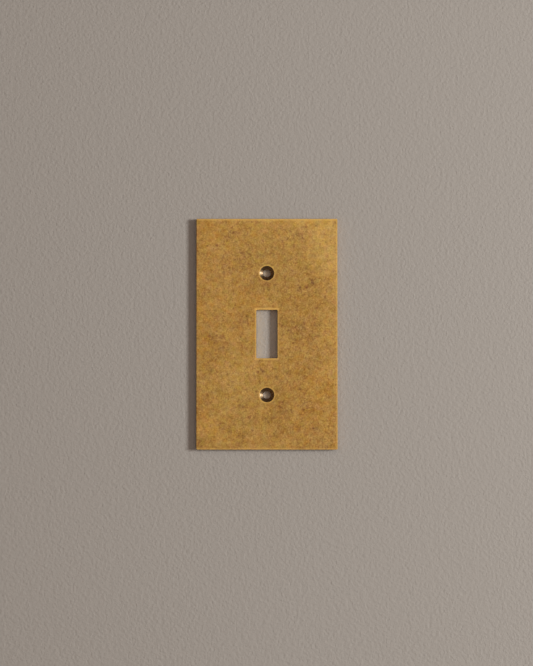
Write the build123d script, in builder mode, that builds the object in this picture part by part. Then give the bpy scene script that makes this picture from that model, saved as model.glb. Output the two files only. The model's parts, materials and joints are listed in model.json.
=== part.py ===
"""Toggle switch plate: a flat brass wall plate that frames one toggle light switch.

The plate stands as it does on a wall: X runs across it, +Z runs up it and its front faces -Y.
The origin is the middle of its wall side. Every length is in millimetres.
"""

import os

from build123d import *

# Outline: the usual size of a plate over one switch
plate_width = 69.85
plate_height = 114.3
corner_radius = 0.5  # upright corners, only just broken

# Section: a stout face over a shallow hollow back
face_thickness = 3.2
recess_depth = 0.8  # keeps the face clear of an uneven wall
rim_width = 3.5  # the rim that bears on the wall
recess_corner_radius = 5.0
recess_floor_radius = 0.6

# Toggle slot, in the middle of the face
slot_width = 10.5
slot_height = 24.0
slot_corner_radius = 0.4

# Screw holes, one above the slot and one below it
screw_spacing = 60.3
screw_hole_diameter = 3.8  # clears the 3.5 mm screws that hold such plates
countersink_diameter = 7.3
countersink_angle = 82.0

# Edges eased by finishing
front_edge_radius = 0.15
wall_edge_chamfer = 0.2

plate_thickness = face_thickness + recess_depth
wall_plane = Plane.XZ  # its normal points away from the wall
front_plane = wall_plane.offset(plate_thickness)

with BuildPart() as switch_plate:
    # Slab, built out from the wall
    with BuildSketch(wall_plane):
        RectangleRounded(plate_width, plate_height, corner_radius)
    extrude(amount=plate_thickness)

    # Hollow back, with a rim all round it and a rounded foot to its walls
    with BuildSketch(wall_plane):
        RectangleRounded(
            plate_width - 2 * rim_width,
            plate_height - 2 * rim_width,
            recess_corner_radius,
        )
    extrude(amount=recess_depth, mode=Mode.SUBTRACT)
    recess_floor = switch_plate.faces().filter_by(Axis.Y).sort_by(Axis.Y)[1]
    fillet(recess_floor.edges(), radius=recess_floor_radius)

    # Toggle slot, cut right through the face
    with BuildSketch(front_plane):
        RectangleRounded(slot_width, slot_height, slot_corner_radius)
    extrude(amount=-plate_thickness, mode=Mode.SUBTRACT)

    # Countersunk screw holes
    with Locations(front_plane):
        with GridLocations(0, screw_spacing, 1, 2):
            CounterSinkHole(
                radius=screw_hole_diameter / 2,
                counter_sink_radius=countersink_diameter / 2,
                counter_sink_angle=countersink_angle,
            )

    # Eased edges: every edge of the front, and the outer edge at the wall
    front_face = switch_plate.faces().sort_by(Axis.Y)[0]
    fillet(front_face.edges(), radius=front_edge_radius)
    rim_face = switch_plate.faces().filter_by(Axis.Y).sort_by(Axis.Y)[-1]
    chamfer(rim_face.outer_wire().edges(), length=wall_edge_chamfer)

os.makedirs("parts", exist_ok=True)
switch_plate.part.label = "switch_plate"
export_step(switch_plate.part, "parts/switch_plate.step")
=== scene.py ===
"""Toggle switch plate of aged brass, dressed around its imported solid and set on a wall.

The file is laid out as an add-on: sizes and colours are properties, and each operator makes one
piece. Lengths are in metres, in the plate's own frame: X across, Z up, and the front faces -Y.
"""

import json
import math

import bmesh
import bpy
from bpy.props import FloatProperty, FloatVectorProperty, IntProperty, PointerProperty
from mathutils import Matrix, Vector, geometry


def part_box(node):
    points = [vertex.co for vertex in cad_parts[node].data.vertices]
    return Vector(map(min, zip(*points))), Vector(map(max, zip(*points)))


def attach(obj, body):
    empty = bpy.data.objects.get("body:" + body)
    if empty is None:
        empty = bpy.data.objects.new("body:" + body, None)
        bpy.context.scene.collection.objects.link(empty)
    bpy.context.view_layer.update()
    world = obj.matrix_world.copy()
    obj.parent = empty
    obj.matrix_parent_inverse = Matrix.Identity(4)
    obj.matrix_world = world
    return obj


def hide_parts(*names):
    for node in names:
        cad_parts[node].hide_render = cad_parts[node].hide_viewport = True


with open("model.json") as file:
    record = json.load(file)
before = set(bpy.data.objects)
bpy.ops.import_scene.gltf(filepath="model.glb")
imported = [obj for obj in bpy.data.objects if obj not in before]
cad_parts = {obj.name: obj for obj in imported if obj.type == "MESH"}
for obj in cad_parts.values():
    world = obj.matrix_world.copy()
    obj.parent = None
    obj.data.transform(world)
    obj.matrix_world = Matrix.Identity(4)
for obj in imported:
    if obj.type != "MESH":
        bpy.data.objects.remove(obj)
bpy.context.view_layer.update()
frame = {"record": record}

bl_info = {
    "name": "Toggle switch plate",
    "version": (1, 0, 0),
    "blender": (4, 5, 0),
    "location": "3D View > Sidebar > Switch plate",
    "description": "Makes an aged brass toggle switch plate on a plain wall",
    "category": "Object",
}

MM = 0.001
NODE = "switch_plate"

plate_low, plate_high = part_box(NODE)
screw_holes = next(m for m in frame["record"]["mounts"] if m["name"] == "screw_holes")

# Zones of the plate's surface
FACE, TURNED, CUT, HOLLOW = range(4)

# Steps of the mesh round a rounded corner, over a rounded edge, and across other stretches
CORNER_STEPS = 6
EDGE_STEPS = 6
WALL_STEPS = 4
SINK_EDGE_STEPS = 5
CONE_STEPS = 90
BORE_STEPS = 3
RING_STEPS = 96
FOOT_STEPS = 4
PLAIN_CONE_ROWS = 4  # without tool marks, at either end of a cone
EVEN_TRIANGLE = 0.866  # height of an even triangle for a side of 1
SHARP_ANGLE = math.radians(40.0)  # between faces that meet in a crisp edge

# Patches on the face: x and z from the plate's middle, radius (all mm) and strength
STAINS = (
    (-15.9, 49.7, 3.2, 1.0),
    (-19.6, 48.2, 2.6, 0.7),
    (15.3, 49.7, 3.6, 0.7),
    (-25.3, 42.8, 2.2, 0.6),
    (-11.5, 39.3, 3.6, 0.7),
    (-9.5, 33.9, 3.2, 0.9),
    (-21.4, 31.9, 4.0, 0.7),
    (0.4, 24.5, 2.0, 0.9),
    (17.8, 23.0, 4.2, 0.7),
    (23.3, 24.5, 4.0, 0.8),
    (-17.4, 22.0, 3.0, 0.5),
    (-12.4, 12.0, 2.6, 0.7),
    (-10.0, 7.1, 2.4, 1.0),
    (7.9, 4.6, 2.2, 1.0),
    (12.3, 2.6, 2.8, 1.0),
    (16.8, 3.1, 2.4, 1.0),
    (23.7, 4.1, 2.6, 0.9),
    (20.8, -0.8, 2.0, 0.8),
    (-24.3, -2.8, 5.0, 0.8),
    (14.0, -5.0, 5.0, 0.5),
    (-27.8, -16.7, 3.6, 0.8),
    (-3.0, -18.7, 2.4, 1.0),
    (11.4, -18.7, 2.6, 0.9),
    (5.9, -34.5, 2.6, 1.0),
    (9.4, -38.6, 3.0, 1.0),
    (-11.9, -37.0, 2.2, 1.0),
    (19.3, -36.5, 3.0, 0.6),
    (-13.4, -49.4, 3.0, 0.9),
    (15.8, -47.4, 3.0, 0.8),
    (23.3, -47.4, 3.0, 0.7),
    (-0.5, -43.5, 4.0, 0.6),
    (-33.5, -55.0, 3.6, 0.9),
)
# Paler patches, and darker ones where the strength is below 0. The first four, on the top right
# and down the right side, are painted sheen from the light on the right; the rest vary the
# patina's tone.
PALE_AND_SHEEN = (
    (29.0, 50.0, 16.0, 1.0),
    (35.0, 31.0, 10.0, 0.75),
    (35.0, 1.0, 9.0, 0.7),
    (35.0, -16.0, 9.0, 0.6),
    (-13.0, -22.0, 13.0, 0.6),
    (-3.0, -14.0, 7.0, 0.4),
    (-9.0, 3.0, 6.0, 0.45),
    (-24.0, 23.0, 9.0, 0.4),
    (-22.0, 47.0, 14.0, 0.5),
    (2.0, 53.0, 9.0, 0.7),
    (-25.0, -47.0, 11.0, 0.5),
    (18.0, 35.0, 8.0, -0.4),
    (-2.0, 27.0, 8.0, -0.5),
    (24.0, 16.0, 7.0, -0.3),
    (14.0, -22.0, 8.0, -0.4),
    (5.0, -41.0, 8.0, -0.5),
    (-34.0, -32.0, 9.0, -0.5),
)
TAN = (
    (-29.0, 52.0, 10.0, 0.8),
    (-32.0, 33.0, 9.0, 0.7),
    (-9.5, 19.0, 6.0, 0.6),
    (-34.0, 12.0, 8.0, 0.7),
    (-32.0, -3.0, 6.0, 0.7),
    (27.0, -27.0, 10.0, 0.8),
    (-28.0, -14.0, 5.0, 0.6),
    (-35.0, -42.0, 10.0, 0.8),
    (20.0, -42.0, 9.0, 0.5),
    (6.0, 33.0, 11.0, -1.2),
    (31.0, 36.0, 9.0, -0.5),
    (-16.0, -29.0, 11.0, -1.2),
    (-6.0, 8.0, 12.0, 0.6),
)


def length_property(name, description, default):
    """A length, in metres."""
    return FloatProperty(name=name, description=description, default=default, unit="LENGTH")


def angle_property(name, description, degrees):
    """An angle, which is kept in radians."""
    return FloatProperty(
        name=name, description=description, default=math.radians(degrees), subtype="ANGLE"
    )


def share_property(name, description, default):
    """A number from 0 to 1."""
    return FloatProperty(
        name=name, description=description, default=default, subtype="FACTOR", min=0.0, max=1.0
    )


def colour_property(name, description, default, brightest=1.0):
    """An opaque colour."""
    return FloatVectorProperty(
        name=name,
        description=description,
        default=(*default, 1.0),
        subtype="COLOR",
        size=4,
        min=0.0,
        max=brightest,
    )


class PlateSizes(bpy.types.PropertyGroup):
    """Sizes of the plate"""

    width: length_property("Width", "Across the plate", plate_high.x - plate_low.x)
    height: length_property("Height", "Up the plate", plate_high.z - plate_low.z)
    thickness: length_property(
        "Thickness", "From the wall to the front", plate_high.y - plate_low.y
    )
    corner_radius: length_property("Corner radius", "Rounding of the upright corners", 0.5 * MM)
    edge_radius: length_property("Edge radius", "Rounding of every edge of the front", 0.15 * MM)
    wall_chamfer: length_property(
        "Wall chamfer", "Broken edge where the plate meets the wall", 0.2 * MM
    )
    slot_width: length_property("Slot width", "Across the toggle slot", 10.5 * MM)
    slot_height: length_property("Slot height", "Up the toggle slot", 24.0 * MM)
    slot_corner_radius: length_property(
        "Slot corner radius", "Rounding of the slot's corners", 0.4 * MM
    )
    hole_spacing: length_property(
        "Hole spacing",
        "Between the middles of the screw holes",
        screw_holes["dims"]["spacing_y_mm"] * MM,
    )
    bore_radius: length_property(
        "Bore radius",
        "Of the straight part of a screw hole",
        screw_holes["dims"]["hole_r_mm"] * MM,
    )
    sink_radius: length_property("Countersink radius", "Of a screw hole at the front", 3.65 * MM)
    sink_angle: angle_property("Countersink angle", "Between the two sides of the cone", 82.0)
    rim_width: length_property("Rim width", "Of the rim round the hollow back", 3.5 * MM)
    recess_depth: length_property(
        "Recess depth", "Of the hollow back", -screw_holes["pos_m"][1]
    )
    recess_corner_radius: length_property(
        "Recess corner radius", "Rounding of the hollow's corners", 5.0 * MM
    )
    recess_floor_radius: length_property(
        "Recess floor radius", "Rounding at the foot of the hollow's walls", 0.6 * MM
    )
    mesh_step: length_property(
        "Mesh step", "Between neighbouring points of the flat faces", 0.9 * MM
    )


class PlateFinish(bpy.types.PropertyGroup):
    """Colours and wear of the brass"""

    deep: colour_property(
        "Deep patina", "Brown where the patina is thickest", (0.265, 0.1145, 0.0188)
    )
    pale: colour_property(
        "Pale patina", "Golden brown where the patina is thinnest", (0.647, 0.402, 0.1118)
    )
    stain: colour_property("Stain", "Dark tarnish of the holes and the back", (0.2, 0.1, 0.03))
    freckle: colour_property(
        "Freckles", "How far the freckles darken the patina", (0.7, 0.615, 0.68)
    )
    tan: colour_property("Tan", "How the patina changes in its tan patches", (1.0, 0.94, 0.74))
    # Also paints highlight: this colour goes on the edges that face the light, as well as on worn
    # brass.
    rubbed_and_lit: colour_property(
        "Rubbed brass", "Brass worn bright along the edges", (0.755, 0.465, 0.126)
    )
    # Painted shade: far darker than bare brass, for the dark room that the countersinks reflect.
    darkened_countersink: colour_property(
        "Machined brass", "Bare brass of the countersinks", (0.25, 0.158, 0.085)
    )
    cut: colour_property(
        "Cut brass", "Bright brass of the slot's walls and the bores", (0.84, 0.58, 0.2)
    )
    back: colour_property("Back", "Duller brass of the hollow back", (0.42, 0.25, 0.085))
    metal: share_property("Face metal", "How much bare metal shows through the patina", 0.8)
    roughness: share_property("Face roughness", "How matt the face is", 0.66)
    wave_height: length_property(
        "Wave height", "How far the hand-finished face dips", 0.02 * MM
    )
    wave_length: length_property("Wave length", "How long those dips are", 12.0 * MM)
    wear_depth: length_property(
        "Edge wear", "How far the edges are worn away at most", 0.06 * MM
    )
    wear_length: length_property(
        "Edge wear length", "How long a worn stretch of edge is", 1.3 * MM
    )
    mark_height: length_property(
        "Tool mark height", "Of the rings that turning left in the countersinks", 0.018 * MM
    )
    mark_pitch: length_property("Tool mark pitch", "Between neighbouring rings", 0.16 * MM)
    seed: IntProperty(name="Seed", description="Of the dips and the edge wear", default=3)


class StageLook(bpy.types.PropertyGroup):
    """Wall, light and camera"""

    wall: colour_property("Wall", "Colour of the painted wall", (0.353, 0.307, 0.267))
    floor: colour_property(
        "Floor", "Colour of the plain floor and of the backdrop", (0.8, 0.79, 0.77)
    )
    fill: colour_property(
        "Fill light", "Light of the room in front of the plate", (1.025, 0.897, 0.829), 2.0
    )
    fill_lift: angle_property(
        "Fill lift", "Angle of the room's light above the plate's middle", 8.0
    )
    shade: colour_property(
        "Side light", "Light along the wall, from either side", (0.02, 0.019, 0.018)
    )
    behind: colour_property(
        "Light from behind", "Dim light that shows the plate's back", (0.55, 0.51, 0.47)
    )
    key: FloatVectorProperty(
        name="Key light",
        description="Colour of the softbox on the right",
        default=(0.929, 1.0, 1.04),
        subtype="COLOR",
        size=3,
    )
    key_power: FloatProperty(name="Key power", description="Watts of the softbox", default=24.0)
    key_distance: length_property("Key distance", "From the plate to the softbox", 1.6)
    key_size: length_property("Key size", "Side of the softbox", 0.362)
    key_swing: angle_property("Key swing", "Angle of the softbox out from the wall", 41.6)
    key_lift: angle_property("Key lift", "Angle of the softbox above the plate's middle", 2.6)
    camera_distance: length_property(
        "Camera distance", "From the plate's front to the camera", 1.316
    )
    camera_elevation: angle_property(
        "Camera elevation", "Of the camera above the plate's middle", -2.5
    )
    view_height: length_property(
        "View height",
        "How much of the wall the picture takes in from top to bottom",
        329.5 * MM,
    )


class Value:
    """A number in a node tree. Arithmetic on it adds Math nodes."""

    def __init__(self, nodes, socket):
        self.nodes = nodes
        self.socket = socket

    def __add__(self, other):
        return self.nodes.math("ADD", self, other)

    def __radd__(self, other):
        return self.nodes.math("ADD", other, self)

    def __sub__(self, other):
        return self.nodes.math("SUBTRACT", self, other)

    def __rsub__(self, other):
        return self.nodes.math("SUBTRACT", other, self)

    def __mul__(self, other):
        return self.nodes.math("MULTIPLY", self, other)

    def __rmul__(self, other):
        return self.nodes.math("MULTIPLY", other, self)

    def __truediv__(self, other):
        return self.nodes.math("DIVIDE", self, other)

    def __rtruediv__(self, other):
        return self.nodes.math("DIVIDE", other, self)

    def __abs__(self):
        return self.nodes.math("ABSOLUTE", self)


def pick(sockets, name):
    """The socket with that identifier, or the first one in use with that name."""
    for socket in sockets:
        if socket.identifier == name:
            return socket
    for socket in sockets:
        if socket.name == name and socket.enabled:
            return socket
    raise KeyError(name)


class Nodes:
    """Adds nodes to one tree."""

    def __init__(self, tree):
        self.tree = tree

    def feed(self, socket, value):
        """Links a socket to what feeds it, or sets its number."""
        if isinstance(value, Value):
            value = value.socket
        if isinstance(value, bpy.types.NodeSocket):
            self.tree.links.new(value, socket)
        else:
            socket.default_value = value

    def add(self, kind, settings=None, sockets=None):
        """A new node of that kind, with its settings made before its sockets are fed."""
        node = self.tree.nodes.new(kind)
        for name, value in (settings or {}).items():
            setattr(node, name, value)
        for name, value in (sockets or {}).items():
            self.feed(pick(node.inputs, name), value)
        return node

    def value(self, kind, output, settings=None, sockets=None):
        """One output of a new node."""
        node = self.add(kind, settings, sockets)
        return Value(self, pick(node.outputs, output))

    def math(self, operation, *terms):
        """The result of a Math node."""
        node = self.add("ShaderNodeMath", {"operation": operation})
        for socket, term in zip(node.inputs, terms):
            self.feed(socket, term)
        return Value(self, node.outputs[0])

    def smooth(self, value, low, high):
        """0 below low, 1 above high, and a smooth rise between them."""
        return self.value(
            "ShaderNodeMapRange",
            "Result",
            {"interpolation_type": "SMOOTHSTEP"},
            {"Value": value, "From Min": low, "From Max": high},
        )

    def mix(self, first, second, factor, blend="MIX"):
        """One colour over another."""
        return self.value(
            "ShaderNodeMix",
            "Result_Color",
            {"data_type": "RGBA", "blend_type": blend, "clamp_factor": False},
            {"Factor_Float": factor, "A_Color": first, "B_Color": second},
        )

    def noise(self, place, size, seed, detail=2.0, distortion=0.0):
        """Cloudy noise about zero, with lumps of roughly that size."""
        cloud = self.value(
            "ShaderNodeTexNoise",
            "Fac",
            {"noise_dimensions": "4D"},
            {
                "Vector": place,
                "W": seed,
                "Scale": 1.0 / size,
                "Detail": detail,
                "Distortion": distortion,
            },
        )
        return cloud - 0.5

    def bump(self, height, strength, distance):
        """A normal that follows small heights on a surface."""
        return self.value(
            "ShaderNodeBump",
            "Normal",
            {},
            {"Strength": strength, "Distance": distance, "Height": height},
        )

    def specks(self, place, size, seed, radius):
        """Ragged specks, up to one in each cell of that size, from 1 within to 0 at the radius."""
        shifted = self.value(
            "ShaderNodeVectorMath",
            "Vector",
            {"operation": "ADD"},
            {"Vector": place, "Vector_001": (seed * size, 0.0, -seed * size)},
        )
        away = self.value(
            "ShaderNodeTexVoronoi",
            "Distance",
            {},
            {"Vector": shifted, "Scale": 1.0 / size},
        )
        reach = radius / size
        ragged = away + self.noise(place, radius, seed) * (0.6 * reach)
        return 1.0 - self.smooth(ragged, 0.35 * reach, reach)


def new_material(name):
    """An empty material: its nodes, its shader and the place on the surface."""
    material = bpy.data.materials.new(name)
    material.use_nodes = True
    material.node_tree.nodes.clear()
    nodes = Nodes(material.node_tree)
    shader = nodes.add("ShaderNodeBsdfPrincipled")
    nodes.add("ShaderNodeOutputMaterial", {}, {"Surface": shader.outputs["BSDF"]})
    place = nodes.add("ShaderNodeTexCoord").outputs["Object"]
    return material, nodes, shader, place


def axes_of(nodes, place):
    """The three numbers of a place."""
    split = nodes.add("ShaderNodeSeparateXYZ", {}, {"Vector": place})
    return [Value(nodes, socket) for socket in split.outputs]


def edge_wear_and_highlight(nodes, place, sizes):
    """How far the edges are lightened: most at the slot, less at the holes and the outline.

    This is partly real wear and partly painted highlight on the edges that face the light. The
    left edge, in shade, keeps its patina, and the slot's right side is lightened over a narrower
    band.
    """
    x, y, z = axes_of(nodes, place)
    across, up = abs(x), abs(z)
    right_narrowing = 1.5
    top = sizes.height / 2 - z
    outline = nodes.math("MINIMUM", sizes.width / 2 - x, sizes.height / 2 + z)
    off_right = (x - sizes.slot_width / 2) * right_narrowing
    beside = nodes.math("MAXIMUM", across - sizes.slot_width / 2, off_right)
    slot = nodes.math("MAXIMUM", beside, up - sizes.slot_height / 2)
    slot_top = nodes.math("MAXIMUM", beside, abs(z - sizes.slot_height / 2))
    from_hole = up - sizes.hole_spacing / 2
    hole = nodes.math("SQRT", x * x + from_hole * from_hole) - sizes.sink_radius

    # Each edge's distance, the width of its lightened band and how strongly that is lightened
    bands = (
        (outline, 0.8 * MM, 0.6),
        (top, 1.4 * MM, 0.66),
        (slot, 1.1 * MM, 0.66),
        (slot_top, 1.5 * MM, 0.88),
        (hole, 0.9 * MM, 0.5),
    )
    fully_lightened = 0.15 * MM
    breakup = nodes.noise(place, 1.6 * MM, 11.0) * (0.5 * MM)
    rub_and_highlight = 0.0
    for distance, width, band_strength in bands:
        lightened = (1.0 - nodes.smooth(distance + breakup, fully_lightened, width)) * band_strength
        rub_and_highlight = nodes.math("MAXIMUM", lightened, rub_and_highlight)

    # The sides are lightened only close to the front
    last_worn, patina_again = 0.4 * MM, 0.9 * MM
    near_front = 1.0 - nodes.smooth(y + sizes.thickness, last_worn, patina_again)
    return rub_and_highlight * near_front


def patina_thinness_and_sheen(nodes, place, pale, sizes):
    """0 where the patina is thickest and 1 where it is thinnest, with painted sheen in the pale
    patches on the top right and the right side. It is thick on the sides.
    """
    # Lump size (mm) and strength, from broad clouds down to fine grain
    clouds = ((22.0, 0.15), (9.0, 0.22), (4.4, 0.2), (2.2, 0.22), (1.1, 0.32), (0.6, 0.6))
    usual, in_pale_patches, on_sides = 0.495, 0.175, 0.45
    # The pale patches carry painted sheen on the right side as well as thin patina
    thin_and_sheen = usual + pale * in_pale_patches
    for seed, (size, strength) in enumerate(clouds):
        thin_and_sheen = thin_and_sheen + nodes.noise(place, size * MM, 1.0 + seed, detail=0.0) * strength
    from_front = axes_of(nodes, place)[1] + sizes.thickness
    return thin_and_sheen - nodes.smooth(from_front, 0.4 * MM, 1.2 * MM) * on_sides


def dark_marks(nodes, place, stain):
    """How far freckles, flecks and dots darken the patina. They gather in the stained patches."""
    freckles = nodes.noise(place, 2.6 * MM, 9.0)
    cluster = nodes.smooth(freckles + stain * 0.22, 0.04, 0.32)
    flecks = nodes.noise(place, 1.5 * MM, 15.0, distortion=0.5)
    fleck = nodes.smooth(flecks + stain * 0.1, 0.07, 0.16)
    large_dots = nodes.specks(place, 3.2 * MM, 2.0, 0.95 * MM)
    small_dots = nodes.specks(place, 1.7 * MM, 5.0, 0.5 * MM)
    dots = nodes.math("MAXIMUM", large_dots, small_dots)
    return cluster * 0.3 + fleck * 0.65 + dots * (0.4 + stain * 0.5)


def faint_tints(nodes, place, tan):
    """A faint mottle of other hues, as a colour to multiply by."""
    blue = nodes.noise(place, 2.4 * MM, 11.0)
    green = nodes.noise(place, 2.4 * MM, 12.0) - tan * 0.06
    return nodes.value(
        "ShaderNodeCombineColor",
        "Color",
        {},
        {"Red": 1.0 + green * -0.24, "Green": 1.0 + green * 0.15, "Blue": 1.0 + blue * 0.95},
    )


def aged_face(finish, sizes):
    """Patinated brass of the face, its edges and the plate's sides."""
    material, nodes, shader, place = new_material("aged_brass_face")
    stain, pale, tan, eased = (
        nodes.value("ShaderNodeAttribute", "Fac", {"attribute_name": name})
        for name in ("stain", "pale", "tan", "edge")
    )
    thin_and_sheen = patina_thinness_and_sheen(nodes, place, pale, sizes)
    dark = dark_marks(nodes, place, stain)
    warm = nodes.smooth(nodes.noise(place, 3.4 * MM, 10.0) + tan * 0.2, 0.0, 0.3)
    pale_dots = nodes.specks(place, 2.4 * MM, 8.0, 0.6 * MM)
    # Real wear and pale specks, plus painted highlight on the edges that face the light
    rub_and_highlight = nodes.math("MAXIMUM", edge_wear_and_highlight(nodes, place, sizes), pale_dots * 0.35)

    patina = nodes.mix(finish.deep, finish.pale, thin_and_sheen)
    marked = nodes.mix(patina, finish.freckle, dark, "MULTIPLY")
    warmed = nodes.mix(marked, finish.tan, warm, "MULTIPLY")
    tinted = nodes.mix(warmed, faint_tints(nodes, place, tan), 1.0, "MULTIPLY")
    nodes.feed(shader.inputs["Base Color"], nodes.mix(tinted, finish.rubbed_and_lit, rub_and_highlight))
    shader.inputs["Metallic"].default_value = finish.metal
    nodes.feed(shader.inputs["Roughness"], finish.roughness + (0.5 - thin_and_sheen) * 0.2 + eased * 0.3)
    grain = nodes.noise(place, 0.7 * MM, 13.0)
    nodes.feed(shader.inputs["Normal"], nodes.bump(grain - dark, 0.3, 0.02 * MM))
    return material


def turned_brass(finish):
    """Brass of the countersinks as the cutter turned it, in a colour darkened far below bare
    brass: painted shade standing for the dark room that the cones reflect.
    """
    material, nodes, shader, place = new_material("aged_brass_turned")
    tarnish = nodes.smooth(nodes.noise(place, 1.2 * MM, 21.0, detail=3.0), -0.1, 0.3)
    colour = nodes.mix(finish.darkened_countersink, finish.stain, tarnish * 0.2)
    nodes.feed(shader.inputs["Base Color"], colour)
    shader.inputs["Metallic"].default_value = 1.0
    nodes.feed(shader.inputs["Roughness"], 0.32 + tarnish * 0.06)
    shader.inputs["Coat Weight"].default_value = 0.13
    shader.inputs["Coat Roughness"].default_value = 0.15
    return material


def cut_brass(finish):
    """Bright brass of the slot's walls and the bores, as the cutter left them."""
    material, nodes, shader, place = new_material("aged_brass_cut")
    tarnish = nodes.smooth(nodes.noise(place, 1.8 * MM, 25.0, detail=3.0), 0.0, 0.35)
    nodes.feed(shader.inputs["Base Color"], nodes.mix(finish.cut, finish.stain, tarnish * 0.3))
    shader.inputs["Metallic"].default_value = 1.0
    nodes.feed(shader.inputs["Roughness"], 0.6 + tarnish * 0.15)
    return material


def hollow_back(finish):
    """Dull brass of the back and its hollow."""
    material, nodes, shader, place = new_material("aged_brass_back")
    clouds = nodes.noise(place, 9.0 * MM, 31.0, detail=3.0)
    grain = nodes.noise(place, 0.8 * MM, 32.0, detail=3.0)
    tarnish = nodes.smooth(nodes.noise(place, 3.0 * MM, 33.0, detail=3.0), 0.02, 0.3)
    toned = nodes.mix(finish.back, 1.0 + clouds * 0.5 + grain * 0.3, 1.0, "MULTIPLY")
    nodes.feed(shader.inputs["Base Color"], nodes.mix(toned, finish.stain, tarnish * 0.6))
    shader.inputs["Metallic"].default_value = 1.0
    nodes.feed(shader.inputs["Roughness"], 0.5 + grain * 0.2 + tarnish * 0.15)
    nodes.feed(shader.inputs["Normal"], nodes.bump(grain, 0.4, 0.02 * MM))
    return material


def rounded_rectangle(width, height, radius, step):
    """Points round a rectangle with rounded corners, each with the way out from it."""
    corners = []
    for quarter, (side, rise) in enumerate(((1, 1), (-1, 1), (-1, -1), (1, -1))):
        middle = Vector((side * (width / 2 - radius), rise * (height / 2 - radius)))
        for i in range(CORNER_STEPS + 1):
            angle = (quarter + i / CORNER_STEPS) * math.pi / 2
            out = Vector((math.cos(angle), math.sin(angle)))
            corners.append((middle + radius * out, out))
    loop = []
    for i, (point, out) in enumerate(corners):
        loop.append((point, out))
        following = corners[(i + 1) % len(corners)][0]
        pieces = round((following - point).length / step)
        for k in range(1, pieces):
            loop.append((point.lerp(following, k / pieces), out))
    return loop


def circle(height, count):
    """A ring's middle, repeated with each way out from it, so that offsets are radii."""
    middle = Vector((0.0, height))
    turns = (2 * math.pi * i / count for i in range(count))
    return [(middle, Vector((math.cos(t), math.sin(t)))) for t in turns]


def arc(middle_out, middle_depth, radius, start, end, count):
    """Points of a rounded edge's section, as offset and depth."""
    turns = [start + (end - start) * i / count for i in range(count + 1)]
    return [
        (middle_out + radius * math.cos(t), middle_depth + radius * math.sin(t)) for t in turns
    ]


def straight(start, end, count):
    """Points of a straight stretch of a section, without its first."""
    return [
        (
            start[0] + (end[0] - start[0]) * i / count,
            start[1] + (end[1] - start[1]) * i / count,
        )
        for i in range(1, count + 1)
    ]


class PlateMesh:
    """The plate's walls and faces as they are put together."""

    def __init__(self, sizes):
        self.sizes = sizes
        self.mesh = bmesh.new()
        floats = self.mesh.verts.layers.float
        self.edge = floats.new("edge")
        self.turned = floats.new("turned")
        self.patches = {
            floats.new("stain"): STAINS,
            floats.new("pale"): PALE_AND_SHEEN,
            floats.new("tan"): TAN,
        }
        self.zone = self.mesh.faces.layers.int.new("zone")

    def point(self, x, y, z):
        """A new point, which knows how far it lies in each kind of patch."""
        vert = self.mesh.verts.new((x, y, z))
        for layer, patches in self.patches.items():
            total = sum(
                strength * math.exp(-(((x / MM - px) ** 2 + (z / MM - pz) ** 2) / radius**2))
                for px, pz, radius, strength in patches
            )
            vert[layer] = min(1.0, total)
        return vert

    def sweep(self, loop, section, zone):
        """Walls that follow a loop. The section holds offsets out from it and depths."""
        rows = [
            [self.point(p.x + d.x * out, depth, p.y + d.y * out) for p, d in loop]
            for out, depth in section
        ]
        for row, following in zip(rows, rows[1:]):
            for i in range(len(loop)):
                k = i - 1
                face = self.mesh.faces.new((row[k], row[i], following[i], following[k]))
                face[self.zone] = zone
                face.smooth = True
        return rows

    def fill(self, rims, clear, zone):
        """A flat face inside the first rim and round the others, with points strewn over it."""
        verts = [vert for rim in rims for vert in rim]
        depth = verts[0].co.y
        points = [Vector((v.co.x, v.co.z)) / MM for v in verts]
        edges = []
        first = 0
        for rim in rims:
            count = len(rim)
            edges += [(first + i, first + (i + 1) % count) for i in range(count)]
            first += count
        step = self.sizes.mesh_step / MM
        line_step = step * EVEN_TRIANGLE
        least_clear = 0.6 * self.sizes.mesh_step
        reach = [max(abs(p[axis]) for p in points) for axis in (0, 1)]
        lines = int(reach[1] / line_step)
        places = int(reach[0] / step)
        for line in range(-lines, lines + 1):
            z = line * line_step
            shift = 0.5 * (line % 2)
            for place in range(-places, places + 1):
                x = (place + shift) * step
                if clear(x * MM, z * MM) > least_clear:
                    points.append(Vector((x, z)))
        for spot in points[len(verts):]:
            verts.append(self.point(spot.x * MM, depth, spot.y * MM))
        within_first_rim = 1
        same_point = 1e-5
        _, _, triangles, sources, _, _ = geometry.delaunay_2d_cdt(
            points, edges, [], within_first_rim, same_point
        )
        openings = [set(rim) for rim in rims[1:]]
        for triangle in triangles:
            corners = [verts[sources[corner][0]] for corner in triangle]
            if any(opening.issuperset(corners) for opening in openings):
                continue
            face = self.mesh.faces.new(corners)
            face[self.zone] = zone
            face.smooth = True


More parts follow.
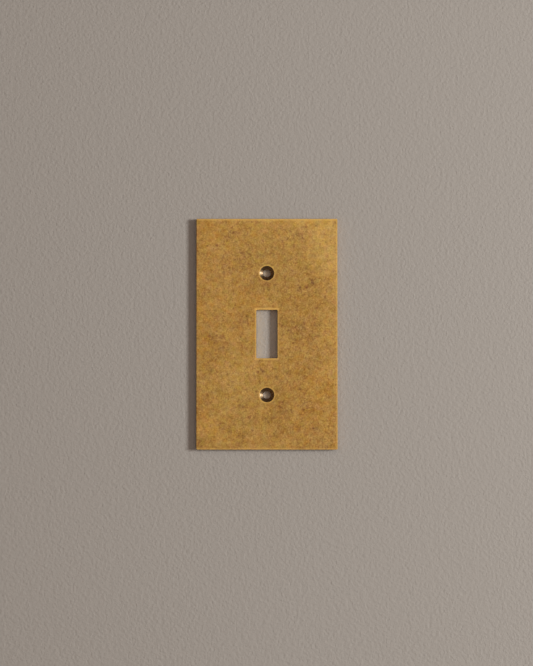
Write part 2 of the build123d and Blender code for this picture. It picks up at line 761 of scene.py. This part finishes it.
def build_plate(sizes):
    """The plate as a plain mesh, with its wear still to come."""
    plate = PlateMesh(sizes)
    front = -sizes.thickness
    floor = -sizes.recess_depth
    edge = sizes.edge_radius
    quarter = math.pi / 2

    # Outline: rounded front edge, side, and broken edge at the wall
    outline = rounded_rectangle(sizes.width, sizes.height, sizes.corner_radius, sizes.mesh_step)
    section = arc(-edge, front + edge, edge, -quarter, 0.0, EDGE_STEPS)
    section += straight(section[-1], (0.0, -sizes.wall_chamfer), WALL_STEPS)
    section += [(-sizes.wall_chamfer, 0.0)]
    side = plate.sweep(outline, section, FACE)

    # Slot: rounded front edge, then straight to the hollow
    slot_step = 0.6 * sizes.mesh_step
    slot_loop = rounded_rectangle(
        sizes.slot_width, sizes.slot_height, sizes.slot_corner_radius, slot_step
    )
    section = arc(edge, front + edge, edge, -quarter, -math.pi, EDGE_STEPS)
    slot_edge = plate.sweep(slot_loop, section, FACE)
    section = [section[-1]] + straight(section[-1], (0.0, floor), WALL_STEPS)
    slot_wall = plate.sweep(slot_loop, section, CUT)

    # Screw holes: eased edge, turned cone and bore
    half = sizes.sink_angle / 2
    ease = quarter - half
    ease_middle = sizes.sink_radius + edge * math.tan(ease / 2)
    section = arc(ease_middle, front + edge, edge, -quarter, -quarter - ease, SINK_EDGE_STEPS)
    cone_depth = (sizes.sink_radius - sizes.bore_radius) / math.tan(half)
    cone = straight(section[-1], (sizes.bore_radius, front + cone_depth), CONE_STEPS)
    bore = straight(cone[-1], (sizes.bore_radius, floor), BORE_STEPS)
    hole_edges = []
    hole_ends = []
    for rise in (sizes.hole_spacing / 2, -sizes.hole_spacing / 2):
        ring = circle(rise, RING_STEPS)
        eased = plate.sweep(ring, section, FACE)
        turned = plate.sweep(ring, [section[-1]] + cone, TURNED)
        for row in turned[PLAIN_CONE_ROWS:-PLAIN_CONE_ROWS]:
            for vert in row:
                vert[plate.turned] = 1.0
        bored = plate.sweep(ring, [cone[-1]] + bore, CUT)
        hole_edges.append(eased[0])
        hole_ends.append(bored[-1])

    # Hollow back: wall and rounded foot
    hollow_loop = rounded_rectangle(
        sizes.width - 2 * sizes.rim_width,
        sizes.height - 2 * sizes.rim_width,
        sizes.recess_corner_radius,
        sizes.mesh_step,
    )
    foot = sizes.recess_floor_radius
    section = [(0.0, 0.0)] + arc(-foot, floor + foot, foot, 0.0, -quarter, FOOT_STEPS)
    hollow = plate.sweep(hollow_loop, section, HOLLOW)

    # Every edge that handling has worn
    for row in side[1:EDGE_STEPS] + slot_edge[1:EDGE_STEPS]:
        for vert in row:
            vert[plate.edge] = 1.0

    # How far a place on a flat face lies from the face's rims
    def off_holes(x, z, radius):
        return math.hypot(x, abs(z) - sizes.hole_spacing / 2) - radius

    def off_slot(x, z):
        return max(abs(x) - sizes.slot_width / 2, abs(z) - sizes.slot_height / 2)

    def inside(x, z, inset):
        return min(sizes.width / 2 - inset - abs(x), sizes.height / 2 - inset - abs(z))

    def clear_of_front_rims(x, z):
        rims = (inside(x, z, edge), off_slot(x, z) - edge, off_holes(x, z, ease_middle))
        return min(rims)

    def clear_of_hollow_rims(x, z):
        wall = inside(x, z, sizes.rim_width + foot)
        past_x = abs(x) - (sizes.width / 2 - sizes.rim_width - sizes.recess_corner_radius)
        past_z = abs(z) - (sizes.height / 2 - sizes.rim_width - sizes.recess_corner_radius)
        if past_x > 0 and past_z > 0:
            wall = sizes.recess_corner_radius - foot - math.hypot(past_x, past_z)
        return min(wall, off_slot(x, z), off_holes(x, z, sizes.bore_radius))

    def nowhere_clear(x, z):
        return -1.0

    plate.fill([side[0], slot_edge[0]] + hole_edges, clear_of_front_rims, FACE)
    plate.fill([hollow[-1], slot_wall[-1]] + hole_ends, clear_of_hollow_rims, HOLLOW)
    plate.fill([side[-1], hollow[0]], nowhere_clear, HOLLOW)

    weld_distance = 0.001 * MM
    bmesh.ops.remove_doubles(plate.mesh, verts=plate.mesh.verts, dist=weld_distance)
    bmesh.ops.recalc_face_normals(plate.mesh, faces=plate.mesh.faces)
    made = bpy.data.meshes.new("brass_plate")
    plate.mesh.to_mesh(made)
    plate.mesh.free()
    return made


def hand_finish_tree():
    """Geometry nodes that give the plate its gentle waves, worn edges and turning rings."""
    tree = bpy.data.node_groups.new("hand_finish", "GeometryNodeTree")
    tree.is_modifier = True
    sockets = tree.interface
    sockets.new_socket("Geometry", in_out="INPUT", socket_type="NodeSocketGeometry")
    for name in (
        "Thickness",
        "Wave height",
        "Wave length",
        "Edge wear",
        "Edge wear length",
        "Tool mark height",
        "Tool mark pitch",
    ):
        sockets.new_socket(name, in_out="INPUT", socket_type="NodeSocketFloat")
    sockets.new_socket("Seed", in_out="INPUT", socket_type="NodeSocketInt")
    for name in ("Face", "Turned", "Cut", "Hollow"):
        sockets.new_socket(name, in_out="INPUT", socket_type="NodeSocketMaterial")
    sockets.new_socket("Geometry", in_out="OUTPUT", socket_type="NodeSocketGeometry")

    nodes = Nodes(tree)
    inputs = nodes.add("NodeGroupInput").outputs
    given = {name: Value(nodes, inputs[name]) for name in inputs.keys() if name}
    place = nodes.add("GeometryNodeInputPosition").outputs["Position"]
    normal = nodes.add("GeometryNodeInputNormal").outputs["Normal"]
    y = axes_of(nodes, place)[1]

    def attribute(name, kind):
        return nodes.value(
            "GeometryNodeInputNamedAttribute", "Attribute", {"data_type": kind}, {"Name": name}
        )

    def rough(length, seed):
        return nodes.value(
            "ShaderNodeTexNoise",
            "Fac",
            {"noise_dimensions": "4D"},
            {"Vector": place, "W": seed, "Scale": 1.0 / length, "Detail": 1.0},
        )

    # The face dips inwards, least at the wall, where the rim stays flat
    dip = rough(given["Wave length"], given["Seed"]) * given["Wave height"]
    dip = dip * (y / given["Thickness"] * -1.0)
    inwards = nodes.value("ShaderNodeCombineXYZ", "Vector", {}, {"Y": dip})

    # Worn edges sink, everywhere by nearly half of the most, and turning leaves rings
    least_wear = 0.46
    wear = rough(given["Edge wear length"], given["Seed"] + 1.0)
    wear = nodes.math("MAXIMUM", wear, least_wear) * given["Edge wear"]
    rings = nodes.math("SINE", y * (2 * math.pi) / given["Tool mark pitch"])
    rings = rings * given["Tool mark height"] * attribute("turned", "FLOAT")
    lift = rings - wear * attribute("edge", "FLOAT")
    outwards = nodes.value(
        "ShaderNodeVectorMath", "Vector", {"operation": "SCALE"}, {"Vector": normal, "Scale": lift}
    )
    offset = nodes.value(
        "ShaderNodeVectorMath",
        "Vector",
        {"operation": "ADD"},
        {"Vector": inwards, "Vector_001": outwards},
    )
    moved = nodes.add(
        "GeometryNodeSetPosition", {}, {"Geometry": given["Geometry"], "Offset": offset}
    )
    made = nodes.add(
        "GeometryNodeRealizeInstances", {}, {"Geometry": moved.outputs["Geometry"]}
    ).outputs["Geometry"]
    zone = attribute("zone", "INT")
    for index, name in ((FACE, "Face"), (TURNED, "Turned"), (CUT, "Cut"), (HOLLOW, "Hollow")):
        chosen = nodes.value(
            "FunctionNodeCompare",
            "Result",
            {"data_type": "INT", "operation": "EQUAL"},
            {"A_INT": zone, "B_INT": index},
        )
        made = nodes.add(
            "GeometryNodeSetMaterial",
            {},
            {"Geometry": made, "Selection": chosen, "Material": given[name]},
        ).outputs["Geometry"]
    nodes.add("NodeGroupOutput", {}, {"Geometry": made})
    return tree


def set_inputs(modifier, values):
    """Sets a modifier's inputs, which are known by their sockets' identifiers."""
    for item in modifier.node_group.interface.items_tree:
        if item.in_out == "INPUT" and item.name in values:
            modifier[item.identifier] = values[item.name]


class SWITCHPLATE_OT_plate(bpy.types.Operator):
    """Make the brass plate"""

    bl_idname = "switchplate.plate"
    bl_label = "Brass plate"

    def execute(self, context):
        sizes = context.scene.plate_sizes
        finish = context.scene.plate_finish
        plate = bpy.data.objects.new("brass_plate", build_plate(sizes))
        context.scene.collection.objects.link(plate)
        modifier = plate.modifiers.new("hand_finish", "NODES")
        modifier.node_group = hand_finish_tree()
        set_inputs(
            modifier,
            {
                "Thickness": sizes.thickness,
                "Wave height": finish.wave_height,
                "Wave length": finish.wave_length,
                "Edge wear": finish.wear_depth,
                "Edge wear length": finish.wear_length,
                "Tool mark height": finish.mark_height,
                "Tool mark pitch": finish.mark_pitch,
                "Seed": finish.seed,
                "Face": aged_face(finish, sizes),
                "Turned": turned_brass(finish),
                "Cut": cut_brass(finish),
                "Hollow": hollow_back(finish),
            },
        )
        evaluated = plate.evaluated_get(context.evaluated_depsgraph_get())
        finished = bpy.data.meshes.new_from_object(evaluated)
        plate.modifiers.clear()
        plate.data = finished
        if not finished.polygons:
            raise RuntimeError("the plate came out empty")
        finished.set_sharp_from_angle(angle=SHARP_ANGLE)
        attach(plate, "root")
        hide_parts(NODE)
        return {"FINISHED"}


def flat_sheet(name, corners, material):
    """A flat rectangle through four corners, as part of the stage."""
    mesh = bpy.data.meshes.new(name)
    mesh.from_pydata(corners, [], [(0, 1, 2, 3)])
    mesh.materials.append(material)
    sheet = bpy.data.objects.new(name, mesh)
    bpy.context.scene.collection.objects.link(sheet)
    return sheet


def wall_paint(colour):
    """Matt paint with a roller's fine texture.

    Seen from behind, the wall isn't there, and it lets the light through to the plate's back.
    """
    material, nodes, shader, place = new_material("wall_paint")
    shader.inputs["Roughness"].default_value = 0.9
    shader.inputs["Specular IOR Level"].default_value = 0.2
    shader.inputs["Base Color"].default_value = colour
    stipple_size, stipple_height = 1.3 * MM, 0.45 * MM
    stipple = nodes.noise(place, stipple_size, 41.0)
    nodes.feed(shader.inputs["Normal"], nodes.bump(stipple, 1.0, stipple_height))
    behind = nodes.value("ShaderNodeNewGeometry", "Backfacing")
    came_through = nodes.value("ShaderNodeLightPath", "Transparent Depth")
    clear = nodes.add("ShaderNodeBsdfTransparent").outputs["BSDF"]
    gone = nodes.math("MINIMUM", behind + came_through, 1.0)
    sided = nodes.add("ShaderNodeMixShader", {}, {"Fac": gone})
    nodes.tree.links.new(shader.outputs["BSDF"], sided.inputs[1])
    nodes.tree.links.new(clear, sided.inputs[2])
    output = next(n for n in nodes.tree.nodes if n.type == "OUTPUT_MATERIAL")
    nodes.feed(output.inputs["Surface"], sided.outputs["Shader"])
    return material


def seen_or_mirrored(nodes, behind):
    """1 for what the camera sees, and for what metal or glass shows behind the wall."""
    light = nodes.add("ShaderNodeLightPath").outputs
    mirrored = nodes.math("MAXIMUM", light["Is Glossy Ray"], light["Is Transmission Ray"])
    return nodes.math("MAXIMUM", light["Is Camera Ray"], mirrored * behind)


def floor_paint(colour):
    """Plain pale floor, which looks pale in the wall's shade too."""
    material, nodes, shader, place = new_material("floor_paint")
    shader.inputs["Base Color"].default_value = colour
    shader.inputs["Roughness"].default_value = 0.9
    past_wall = nodes.smooth(axes_of(nodes, place)[1], 0.0, 0.3)
    glow = nodes.mix((0.0, 0.0, 0.0, 1.0), colour, seen_or_mirrored(nodes, past_wall))
    nodes.feed(shader.inputs["Emission Color"], glow)
    shader.inputs["Emission Strength"].default_value = 0.5
    return material


def light_room(look):
    """Room light, strongest in front of the plate, with a pale backdrop for the camera."""
    world = bpy.data.worlds.new("room")
    world.use_nodes = True
    world.node_tree.nodes.clear()
    nodes = Nodes(world.node_tree)
    towards = nodes.add("ShaderNodeTexCoord").outputs["Generated"]
    _, y, z = axes_of(nodes, towards)
    facing = y * -math.cos(look.fill_lift) + z * math.sin(look.fill_lift)
    full_within, gone_beyond = math.radians(5.0), math.radians(50.0)
    front = nodes.smooth(facing, math.cos(gone_beyond), math.cos(full_within))
    rear = nodes.smooth(y, 0.0, 0.3)
    lit = nodes.mix(nodes.mix(look.shade, look.fill, front), look.behind, rear)
    colour = nodes.mix(lit, look.floor, seen_or_mirrored(nodes, rear))
    background = nodes.add("ShaderNodeBackground", {}, {"Color": colour})
    nodes.add("ShaderNodeOutputWorld", {}, {"Surface": background.outputs["Background"]})
    bpy.context.scene.world = world


def area_lamp(name, place, size, power, colour):
    """A square softbox at a place, turned to the plate."""
    lamp = bpy.data.lights.new(name, "AREA")
    lamp.size = size
    lamp.energy = power
    lamp.color = colour
    holder = bpy.data.objects.new(name, lamp)
    holder.location = place
    holder.rotation_euler = (-place).to_track_quat("-Z", "Y").to_euler()
    bpy.context.scene.collection.objects.link(holder)
    return holder


class SWITCHPLATE_OT_stage(bpy.types.Operator):
    """Set the wall, floor, light and camera"""

    bl_idname = "switchplate.stage"
    bl_label = "Stage"

    def execute(self, context):
        look = context.scene.stage_look
        sizes = context.scene.plate_sizes
        context.scene.view_settings.view_transform = "Standard"

        gap = 0.05 * MM
        reach = 3.0
        square = ((-reach, -reach), (reach, -reach), (reach, reach), (-reach, reach))
        flat_sheet("wall", [(x, gap, z) for x, z in square], wall_paint(look.wall))
        flat_sheet("floor", [(x, y, -reach) for x, y in square], floor_paint(look.floor))
        light_room(look)
        level = math.cos(look.key_lift)
        to_key = Vector(
            (
                math.cos(look.key_swing) * level,
                -math.sin(look.key_swing) * level,
                math.sin(look.key_lift),
            )
        )
        area_lamp("key", to_key * look.key_distance, look.key_size, look.key_power, look.key)

        lens = bpy.data.cameras.new("camera")
        lens.sensor_width = 36.0
        lens.lens = lens.sensor_width * look.camera_distance / look.view_height
        camera = bpy.data.objects.new("camera", lens)
        aim_x, aim_z = -0.2 * MM, 0.49 * MM  # the picture's middle, just off the plate's
        aim = Vector((aim_x, -sizes.thickness, aim_z))
        back = Vector((0.0, -math.cos(look.camera_elevation), math.sin(look.camera_elevation)))
        camera.location = aim + back * look.camera_distance
        camera.rotation_euler = (-back).to_track_quat("-Z", "Y").to_euler()
        context.scene.collection.objects.link(camera)
        context.scene.camera = camera
        return {"FINISHED"}


class SWITCHPLATE_PT_panel(bpy.types.Panel):
    """Lists the plate's operators and properties"""

    bl_idname = "SWITCHPLATE_PT_panel"
    bl_label = "Switch plate"
    bl_space_type = "VIEW_3D"
    bl_region_type = "UI"
    bl_category = "Switch plate"

    def draw(self, context):
        for operator in OPERATORS:
            self.layout.operator(operator.bl_idname)
        for name in GROUPS:
            group = getattr(context.scene, name)
            box = self.layout.box()
            for key in group.__annotations__:
                box.prop(group, key)


OPERATORS = (SWITCHPLATE_OT_plate, SWITCHPLATE_OT_stage)
GROUPS = {"plate_sizes": PlateSizes, "plate_finish": PlateFinish, "stage_look": StageLook}
CLASSES = (*GROUPS.values(), *OPERATORS, SWITCHPLATE_PT_panel)


def register():
    for cls in CLASSES:
        bpy.utils.register_class(cls)
    for name, group in GROUPS.items():
        setattr(bpy.types.Scene, name, PointerProperty(type=group))


def unregister():
    for name in GROUPS:
        delattr(bpy.types.Scene, name)
    for cls in reversed(CLASSES):
        bpy.utils.unregister_class(cls)


def main():
    """Makes the plate and its stage."""
    register()
    bpy.ops.switchplate.plate()
    bpy.ops.switchplate.stage()


if __name__ == "__main__":
    main()
